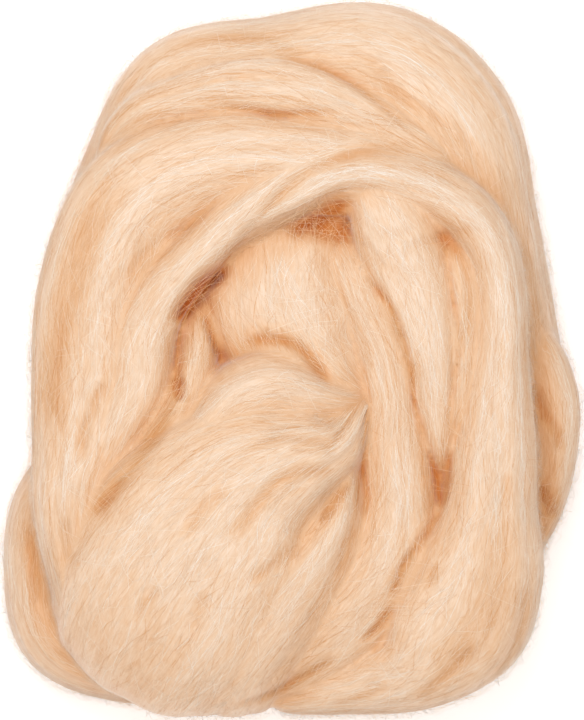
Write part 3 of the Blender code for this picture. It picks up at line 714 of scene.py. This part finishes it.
def tube_corners(tubes, rings, around):
    """Corners and corner counts of closed tubes, each with two end points and rings between them."""
    size = rings * around + 2
    ring = np.arange(around)
    after = (ring + 1) % around
    start = 1 + np.arange(rings - 1)[:, None] * around
    quads = np.stack([start + ring, start + around + ring, start + around + after, start + after], axis=-1)
    first = np.stack([0 * ring, 1 + ring, 1 + after], axis=-1)
    last_ring = 1 + (rings - 1) * around
    last = np.stack([0 * ring + size - 1, last_ring + after, last_ring + ring], axis=-1)
    offsets = (np.arange(tubes) * size)[:, None]
    quads = (quads.reshape(1, -1) + offsets).ravel()
    tips = (np.concatenate([first, last]).reshape(1, -1) + offsets).ravel()
    counts = np.concatenate([np.full(len(quads) // 4, 4), np.full(len(tips) // 3, 3)])
    return np.concatenate([quads, tips]), counts


def placed(name, data):
    """A new object in the scene, at the origin."""
    thing = bpy.data.objects.new(name, data)
    bpy.context.scene.collection.objects.link(thing)
    return thing


def read_all(items, key, width, kind=np.float32):
    """One value of all of a mesh's items, a row for each."""
    values = np.empty(width * len(items), kind)
    items.foreach_get(key, values)
    return values.reshape(-1, width)


def mesh_from(name, points, corners, counts):
    """A mesh from whole arrays. Points are in mm."""
    mesh = bpy.data.meshes.new(name)
    mesh.vertices.add(len(points))
    mesh.vertices.foreach_set("co", (points * MM).astype(np.float32).ravel())
    mesh.loops.add(len(corners))
    mesh.loops.foreach_set("vertex_index", corners.astype(np.int32))
    mesh.polygons.add(len(counts))
    starts = np.concatenate([[0], np.cumsum(counts)[:-1]])
    mesh.polygons.foreach_set("loop_start", starts.astype(np.int32))
    mesh.polygons.foreach_set("loop_total", counts.astype(np.int32))
    mesh.update(calc_edges=True)
    return mesh


def add_piece(name, points, corners, counts, material, attributes, normals=None):
    """A smooth mesh object at the origin. attributes: name to one value or vector for each point.

    normals, where given, is the direction that each point's faces are lit as if they faced.
    """
    mesh = mesh_from(name, points, corners, counts)
    for label, values in attributes.items():
        kind, key = ("FLOAT_VECTOR", "vector") if values.ndim == 2 else ("FLOAT", "value")
        mesh.attributes.new(label, kind, "POINT")
        mesh.attributes[label].data.foreach_set(key, values.astype(np.float32).ravel())
    mesh.shade_smooth()
    if normals is not None:
        mesh.normals_split_custom_set_from_vertices(normals)
    mesh.materials.append(material)
    piece = placed(name, mesh)
    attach(piece, "root")
    return piece


def all_tubes(bands):
    """The points, corners and corner counts of every band's closed tube, as one set of arrays."""
    points, corners, counts, start = [], [], [], 0
    for band in bands.values():
        rings, around = band.points.shape[:2]
        tube = np.concatenate([band.path[:1], band.points.reshape(-1, 3), band.path[-1:]])
        its_corners, its_counts = tube_corners(1, rings, around)
        points.append(tube)
        corners.append(its_corners + start)
        counts.append(its_counts)
        start += len(tube)
    return np.concatenate(points), np.concatenate(corners), np.concatenate(counts)


def largest_shell(count, edges):
    """True for each point of the largest shell: all points tied by edges come to share one label."""
    label = np.arange(count)
    changed = True
    while changed:
        before = label.copy()
        lower = np.minimum(label[edges[:, 0]], label[edges[:, 1]])
        np.minimum.at(label, edges[:, 0], lower)
        np.minimum.at(label, edges[:, 1], lower)
        label = label[label[label]]
        changed = bool((label != before).any())
    return label == np.bincount(label).argmax()


def skin_piece(name, bands, material):
    """One closed skin round all the bands, softened where they meet and flat where it rests."""
    tubes = placed("tubes", mesh_from("tubes", *all_tubes(bands)))
    join = tubes.modifiers.new("join", "REMESH")
    join.mode = "VOXEL"
    join.voxel_size = SKIN_GRAIN * MM
    soften = tubes.modifiers.new("soften", "SMOOTH")
    soften.factor = SOFTEN_SHARE
    soften.iterations = SOFTEN_ROUNDS
    thin = tubes.modifiers.new("thin", "DECIMATE")
    thin.ratio = SKIN_KEPT
    thin.use_collapse_triangulate = True
    graph = bpy.context.evaluated_depsgraph_get()
    made = bpy.data.meshes.new_from_object(tubes.evaluated_get(graph))
    bpy.data.objects.remove(tubes)

    points = read_all(made.vertices, "co", 3).astype(float) / MM
    upward = read_all(made.vertices, "normal", 3)[:, 2]
    kept = largest_shell(len(points), read_all(made.edges, "vertices", 2, np.int32))
    faces = read_all(made.loops, "vertex_index", 1, np.int32).reshape(-1, 3)
    faces = faces[kept[faces[:, 0]]]
    fresh = np.cumsum(kept) - 1
    points, upward = points[kept], upward[kept]
    lay = lay_at(points, bands)
    points, drop = pressed(points, upward)
    points[:, 2] = np.maximum(points[:, 2], RESTING_HEIGHT)
    top = HeightMap(points)
    # The painted shade of each point, which darkens its colour in creases, hollows and on slopes.
    painted_shade = painted_shade_at(top.read(top.painted_shade, points), drop, upward)
    attributes = {"lay": lay, "painted_shade": painted_shade}
    counts = np.full(len(faces), 3)
    skin = add_piece(name, points, fresh[faces].ravel(), counts, material, attributes)
    normals = read_all(skin.data.vertices, "normal", 3).astype(float)
    return skin, top, Field(points, normals)


# ---------------- fibres


def bowed(t, rise, sink):
    """Height along a fibre, at places t from -1 to 1: rise * root of (1 - t^2) less sink * |t|^3."""
    return rise * np.sqrt(np.clip(1 - t**2, 0, 1)) - sink * np.abs(t) ** 3


def fibre_lines(band, kind, count, rng):
    """(lines, outward, tone, drop) of fibres that lie along a band.

    Each starts at an even spread of lengths and angles. Its line runs along the band at a small slant,
    sways sideways by a sine, and rises from its sunk ends to its middle as the root of a parabola.
    """
    middle = rng.uniform(0, band.along[-1], count)[:, None]
    angle = rng.uniform(0, 2 * math.pi, count)[:, None]
    length = np.clip(rng.normal(kind.length, kind.spread, count), SHORTEST * kind.length, None)[:, None]
    slant = np.radians(rng.normal(0, kind.slant, count))[:, None]
    sway = rng.normal(0, kind.bend, count)[:, None]
    phase = rng.uniform(0, 2 * math.pi, count)[:, None]
    rise = kind.rise * np.abs(rng.normal(RISE_MEAN, RISE_SPREAD, count))[:, None]
    t = np.linspace(-1, 1, FIBRE_RINGS + 2)[None, :]
    far = middle + 0.5 * length * np.cos(slant) * t
    far = np.clip(far, 0, band.along[-1])
    side = 0.5 * length * np.sin(slant) * t + sway * np.sin(SWAY_TURN * t + phase)
    turned = angle + side / (band.girth / (2 * math.pi))
    lines = band.read(band.points, far, turned)
    outward = band.read(band.normal, far, turned)
    lines = lines + bowed(t, rise, kind.sink)[..., None] * outward
    upward = np.clip(outward[..., 2].ravel(), 0, 1)
    moved, drop = pressed(lines.reshape(-1, 3), upward)
    streaks = streak_tone(angle[:, 0] * band.girth / (2 * math.pi), middle[:, 0], rng)
    # Painted highlight: a kind's thin fibres are drawn lighter than the mass by its share.
    tone = rng.normal(kind.pale, TONE_SPREAD, count) + streaks
    return moved.reshape(lines.shape), outward, tone, drop.reshape(lines.shape[:2]).mean(axis=1)


def streak_tone(around, along, rng):
    """Lighter and darker streaks, as of locks side by side: sines across the band that drift along it."""
    total = np.zeros_like(around)
    for spacing, length in STREAKS:
        turn, drift, swell = rng.uniform(0, 2 * math.pi, 3)
        sway = STREAK_DRIFT * np.sin(along / length + drift)
        wave = np.sin(2 * math.pi * around / spacing + sway + turn)
        slow = np.sin(STREAK_SWELL * along / length + around / SWELL_SPACING + swell)
        total += wave * np.clip(STREAK_MEAN + (1 - STREAK_MEAN) * slow, 0, 1)
    return total


def fibre_piece(name, lines, outward, tone, painted_shade, width, material):
    """Closed three-sided flat tubes on the lines, full in the middle and drawn to a point at both ends.

    They take the wool's own outward direction as their normals and cast no shadow, as light passes
    through so fine a fibre.
    """
    tangent = np.gradient(lines, axis=1)
    tangent /= np.linalg.norm(tangent, axis=2)[..., None] + 1e-9
    side = np.cross(tangent, outward)
    side /= np.linalg.norm(side, axis=2)[..., None] + 1e-9
    up = np.cross(side, tangent)
    t = np.linspace(-1, 1, lines.shape[1])[None, 1:-1, None, None]
    radius = 0.5 * width * np.sqrt(np.clip(1 - FIBRE_TAPER * t**2, 0, 1))
    turn = (FIBRE_TURN + np.arange(FIBRE_SIDES)) * 2 * math.pi / FIBRE_SIDES
    cos, sin = np.cos(turn)[:, None], FIBRE_FLATNESS * np.sin(turn)[:, None]
    rings = lines[:, 1:-1, None, :] + radius * (cos * side[:, 1:-1, None, :] + sin * up[:, 1:-1, None, :])
    rings = rings.reshape(len(lines), -1, 3)
    points = np.concatenate([lines[:, :1], rings, lines[:, -1:]], axis=1)
    corners, counts = tube_corners(len(lines), lines.shape[1] - 2, FIBRE_SIDES)
    # Each fibre carries its tone and its painted shade.
    attributes = {"tone": np.repeat(tone, points.shape[1]), "painted_shade": np.repeat(painted_shade, points.shape[1])}
    round_each = np.repeat(outward[:, 1:-1], FIBRE_SIDES, axis=1)
    normals = np.concatenate([outward[:, :1], round_each, outward[:, -1:]], axis=1).reshape(-1, 3)
    piece = add_piece(name, points.reshape(-1, 3), corners, counts, material, attributes, normals)
    piece.visible_shadow = False
    return piece


def stray_lines(stray, top, rng):
    """Lines of loose fibres drawn from around one place to around another, at the wool's height at both.

    Each is straight but for a sideways sine, and bows up a little in its middle as the root of a parabola.
    """
    ends = np.array([stray.start, stray.end], float)[None]
    ends = ends + rng.normal(0, stray.spread / 2, (stray.count, 2, 2))
    height = top.read(top.top, ends.reshape(-1, 2)).reshape(-1, 2)
    t = np.linspace(-1, 1, FIBRE_RINGS + 2)[None, :]
    place = 0.5 * (1 + t[..., None])
    lines = np.concatenate([ends, height[..., None]], axis=2)
    lines = lines[:, :1] * (1 - place) + lines[:, 1:] * place
    across = ends[:, 1] - ends[:, 0]
    across = np.stack([-across[:, 1], across[:, 0]], axis=1) / np.linalg.norm(across, axis=1)[:, None]
    sway = rng.normal(0, STRAY_SWAY, stray.count)[:, None]
    phase = rng.uniform(0, 2 * math.pi, stray.count)[:, None]
    lines[..., :2] += (sway * np.sin(STRAY_TURN * t + phase))[..., None] * across[:, None]
    lines[..., 2] += bowed(t, STRAY_RISE, STRAY_SINK) - STRAY_DEPTH
    return lines


def showing(lines, own, bands, top):
    """True for each line that lies outside every band but its own and above the floor, and the painted
    shade at its middle.
    """
    shown = lines[:, :, 2].min(axis=1) > RESTING_HEIGHT
    for name, band in bands.items():
        if name == own:
            continue
        for place in LOOKED_AT:
            at = int(round(place * (lines.shape[1] - 1)))
            gap, _ = band.gap(lines[:, at])
            shown &= gap > -DEPTH_ALLOWED
    middle = lines[:, lines.shape[1] // 2]
    return shown, top.read(top.painted_shade, middle)


def kept_share(kind, upward):
    """The share of a kind's fibres that is kept on top, at the sides or below, by how they face."""
    above = np.where(upward < SIDE_LIMIT, kind.on_sides, kind.on_top)
    return np.where(upward < -SIDE_LIMIT, BELOW_SHARE, above)


# ---------------- materials


def linear(colour):
    """A colour as Blender takes it, from its sRGB hex value, by the sRGB curve."""
    parts = [int(colour[i : i + 2], 16) / 255 for i in (1, 3, 5)]
    return tuple(c / 12.92 if c <= 0.04045 else ((c + 0.055) / 1.055) ** 2.4 for c in parts) + (1.0,)


def add_node(tree, kind, settings=(), **links):
    """A node with its settings, which are attributes or input values by name, and its input links."""
    node = tree.nodes.new(kind)
    for key, value in dict(settings).items():
        if key in node.inputs:
            node.inputs[key].default_value = value
        else:
            setattr(node, key, value)
    for key, source in links.items():
        tree.links.new(source, node.inputs[key.replace("_", " ")])
    return node


def add_ramp(tree, source, stops):
    """A colour ramp through (place, hex colour) stops, fed by source."""
    node = add_node(tree, "ShaderNodeValToRGB", Fac=source)
    ramp = node.color_ramp
    while len(ramp.elements) < len(stops):
        ramp.elements.new(0.5)
    for element, (place, colour) in zip(ramp.elements, stops):
        element.position = place
        element.color = linear(colour)
    return node


def new_material(name):
    """An empty material and its node tree."""
    material = bpy.data.materials.new(name)
    material.use_nodes = True
    material.node_tree.nodes.clear()
    return material, material.node_tree


def with_painted_shade(tree, colour):
    """The colour multiplied by a painted shade, darker and deep orange by the shade that the mesh carries
    for each point: it stands for the shade in creases and the light that has passed through much wool.
    """
    painted_shade = add_node(tree, "ShaderNodeAttribute", {"attribute_name": "painted_shade"})
    tint = add_ramp(tree, painted_shade.outputs["Fac"], PAINTED_SHADE_TINTS)
    mixed = add_node(tree, "ShaderNodeMix", {"data_type": "RGBA", "blend_type": "MULTIPLY"})
    mixed.inputs["Factor"].default_value = 1.0
    # Its inputs 6 and 7 and its output 2 are the ones for colours.
    tree.links.new(colour, mixed.inputs[6])
    tree.links.new(tint.outputs["Color"], mixed.inputs[7])
    return mixed.outputs[2]


def combed_wool_mass():
    """Combed wool top, the mass of the rope: matte, peach, and soft to light, with painted shade in its
    creases.

    The streaks follow the fibres: noise on the "lay" attribute, whose third part runs along the band.
    """
    material, tree = new_material("combed_wool_mass")
    lay = add_node(tree, "ShaderNodeAttribute", {"attribute_name": "lay"})
    drawn_out = add_node(tree, "ShaderNodeVectorMath", {"operation": "MULTIPLY"})
    tree.links.new(lay.outputs["Vector"], drawn_out.inputs[0])
    drawn_out.inputs[1].default_value = (1, 1, MASS_STRETCH)
    grain = {"Scale": 1 / MASS_STREAK, "Detail": 3.0, "Roughness": 0.65}
    fine = add_node(tree, "ShaderNodeTexNoise", grain, Vector=drawn_out.outputs[0])
    colour = add_ramp(tree, fine.outputs["Fac"], MASS_COLOURS)
    relief = {"Strength": 0.35, "Distance": MASS_RELIEF * MM}
    bump = add_node(tree, "ShaderNodeBump", relief, Height=fine.outputs["Fac"])
    shader = add_node(
        tree,
        "ShaderNodeBsdfPrincipled",
        {"Roughness": 0.95, **WOOL_FINISH},
        Base_Color=with_painted_shade(tree, colour.outputs["Color"]),
        Normal=bump.outputs["Normal"],
    )
    add_node(tree, "ShaderNodeOutputMaterial", Surface=shader.outputs[0])
    return material


def combed_wool_fibre():
    """Single locks of fibre: the same wool, each a little lighter or darker than the next, with the same
    painted shade and the thin ones painted lighter.
    """
    material, tree = new_material("combed_wool_fibre")
    tone = add_node(tree, "ShaderNodeAttribute", {"attribute_name": "tone"})
    reach = {"From Min": -TONE_REACH, "From Max": TONE_REACH}
    place = add_node(tree, "ShaderNodeMapRange", reach, Value=tone.outputs["Fac"])
    colour = add_ramp(tree, place.outputs[0], FIBRE_COLOURS)
    shader = add_node(
        tree,
        "ShaderNodeBsdfPrincipled",
        {"Roughness": 0.85, **WOOL_FINISH},
        Base_Color=with_painted_shade(tree, colour.outputs["Color"]),
    )
    add_node(tree, "ShaderNodeOutputMaterial", Surface=shader.outputs[0])
    return material


def plain_floor():
    """Matte white paint, with a little light of its own, so that it stays white under soft light."""
    material, tree = new_material("white_paint")
    shader = add_node(
        tree,
        "ShaderNodeBsdfPrincipled",
        {
            "Base Color": linear("#E6E6E6"),
            "Roughness": 0.9,
            "Specular IOR Level": 0.1,
            "Emission Color": (1, 1, 1, 1),
            "Emission Strength": FLOOR_GLOW,
        },
    )
    add_node(tree, "ShaderNodeOutputMaterial", Surface=shader.outputs[0])
    return material


# ---------------- the studio


def add_light(name, light):
    """A round softbox at its place, turned towards the bundle."""
    lamp = bpy.data.lights.new(name, "AREA")
    lamp.shape = "DISK"
    lamp.size = light.size
    lamp.energy = light.power
    lamp.color = light.colour
    stand = placed(name, lamp)
    stand.location = light.place
    stand.rotation_mode = "QUATERNION"
    stand.rotation_quaternion = (-Vector(light.place)).to_track_quat("-Z", "Y")


def make_studio():
    """A camera straight above the face, a white floor, the soft lights and a white sky."""
    camera = placed("camera", bpy.data.cameras.new("camera"))
    camera.location = (0, 0, CAMERA_DISTANCE)
    camera.data.sensor_fit = "VERTICAL"
    camera.data.sensor_height = SENSOR
    camera.data.lens = SENSOR * (CAMERA_DISTANCE - MIDDLE_HEIGHT) / VIEW_HEIGHT
    bpy.context.scene.camera = camera

    mesh = bpy.data.meshes.new("floor")
    far = FLOOR_SIDE / 2
    mesh.from_pydata([(-far, -far, 0), (far, -far, 0), (far, far, 0), (-far, far, 0)], [], [(0, 1, 2, 3)])
    mesh.materials.append(plain_floor())
    floor = placed("floor", mesh)

    for name, light in LIGHTS.items():
        add_light(name, light)

    world = bpy.data.worlds.new("white_sky")
    world.use_nodes = True
    sky = world.node_tree.nodes["Background"]
    sky.inputs["Color"].default_value = SKY_COLOUR
    sky.inputs["Strength"].default_value = SKY_STRENGTH
    bpy.context.scene.world = world
    bpy.context.scene.view_settings.view_transform = "Standard"
    bpy.context.scene.view_settings.exposure = 0.0


# ---------------- the bundle


def dress_run(name, bands, top, field, wool, rng):
    """Each kind of fibre along a run, where it shows and the wool faces the way that its band does."""
    band = bands[name]
    area = band.girth * band.along[-1] / MM2_IN_CM2
    for label, kind in FIBRES.items():
        count = int(area * RUNS[name].cover * kind.share)
        lines, outward, tone, drop = fibre_lines(band, kind, count, rng)
        shown, painted_shade = showing(lines, name, bands, top)
        upward = outward[:, outward.shape[1] // 2, 2]
        shown &= rng.uniform(0, 1, count) < kept_share(kind, upward)
        # The painted shade of each fibre, as on the wool under it.
        painted_shade = painted_shade_at(painted_shade, drop, upward)
        facing = field.read(lines.reshape(-1, 3), outward.reshape(-1, 3)).reshape(lines.shape)
        shown &= (facing * outward).sum(axis=2).min(axis=1) > LEAST_AGREEMENT
        if shown.any():
            kept = (lines[shown], facing[shown], tone[shown], painted_shade[shown])
            fibre_piece(f"{name}_{label}", *kept, kind.width, wool)


def draw_strays(top, wool, rng):
    """The loose fibres over the gaps, lit as if they faced straight up."""
    lines = np.concatenate([stray_lines(stray, top, rng) for stray in STRAYS])
    outward = np.broadcast_to((0.0, 0.0, 1.0), lines.shape)
    tone = rng.normal(0, TONE_SPREAD, len(lines))
    # Painted shade on the strays: a share of that of the wool under their middle.
    painted_shade = STRAY_PAINTED_SHADE * top.read(top.painted_shade, lines[:, lines.shape[1] // 2])
    fibre_piece("strays", lines, outward, tone, painted_shade, STRAY_WIDTH, wool)


def make_bundle():
    """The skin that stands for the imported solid, and the fibres over it."""
    rng = np.random.default_rng(SEED)
    bands = {name: Band(run, rng) for name, run in RUNS.items()}
    skin, top, field = skin_piece("wool_mass", bands, combed_wool_mass())
    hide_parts(NODE)
    wool = combed_wool_fibre()
    for name in bands:
        dress_run(name, bands, top, field, wool, rng)
    draw_strays(top, wool, rng)


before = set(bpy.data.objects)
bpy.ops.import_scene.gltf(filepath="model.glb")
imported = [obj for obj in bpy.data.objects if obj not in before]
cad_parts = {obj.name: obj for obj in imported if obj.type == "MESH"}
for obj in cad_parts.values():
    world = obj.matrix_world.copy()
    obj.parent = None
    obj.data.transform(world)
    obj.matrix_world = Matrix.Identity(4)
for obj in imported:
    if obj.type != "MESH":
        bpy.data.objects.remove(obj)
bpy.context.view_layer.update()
make_studio()
make_bundle()
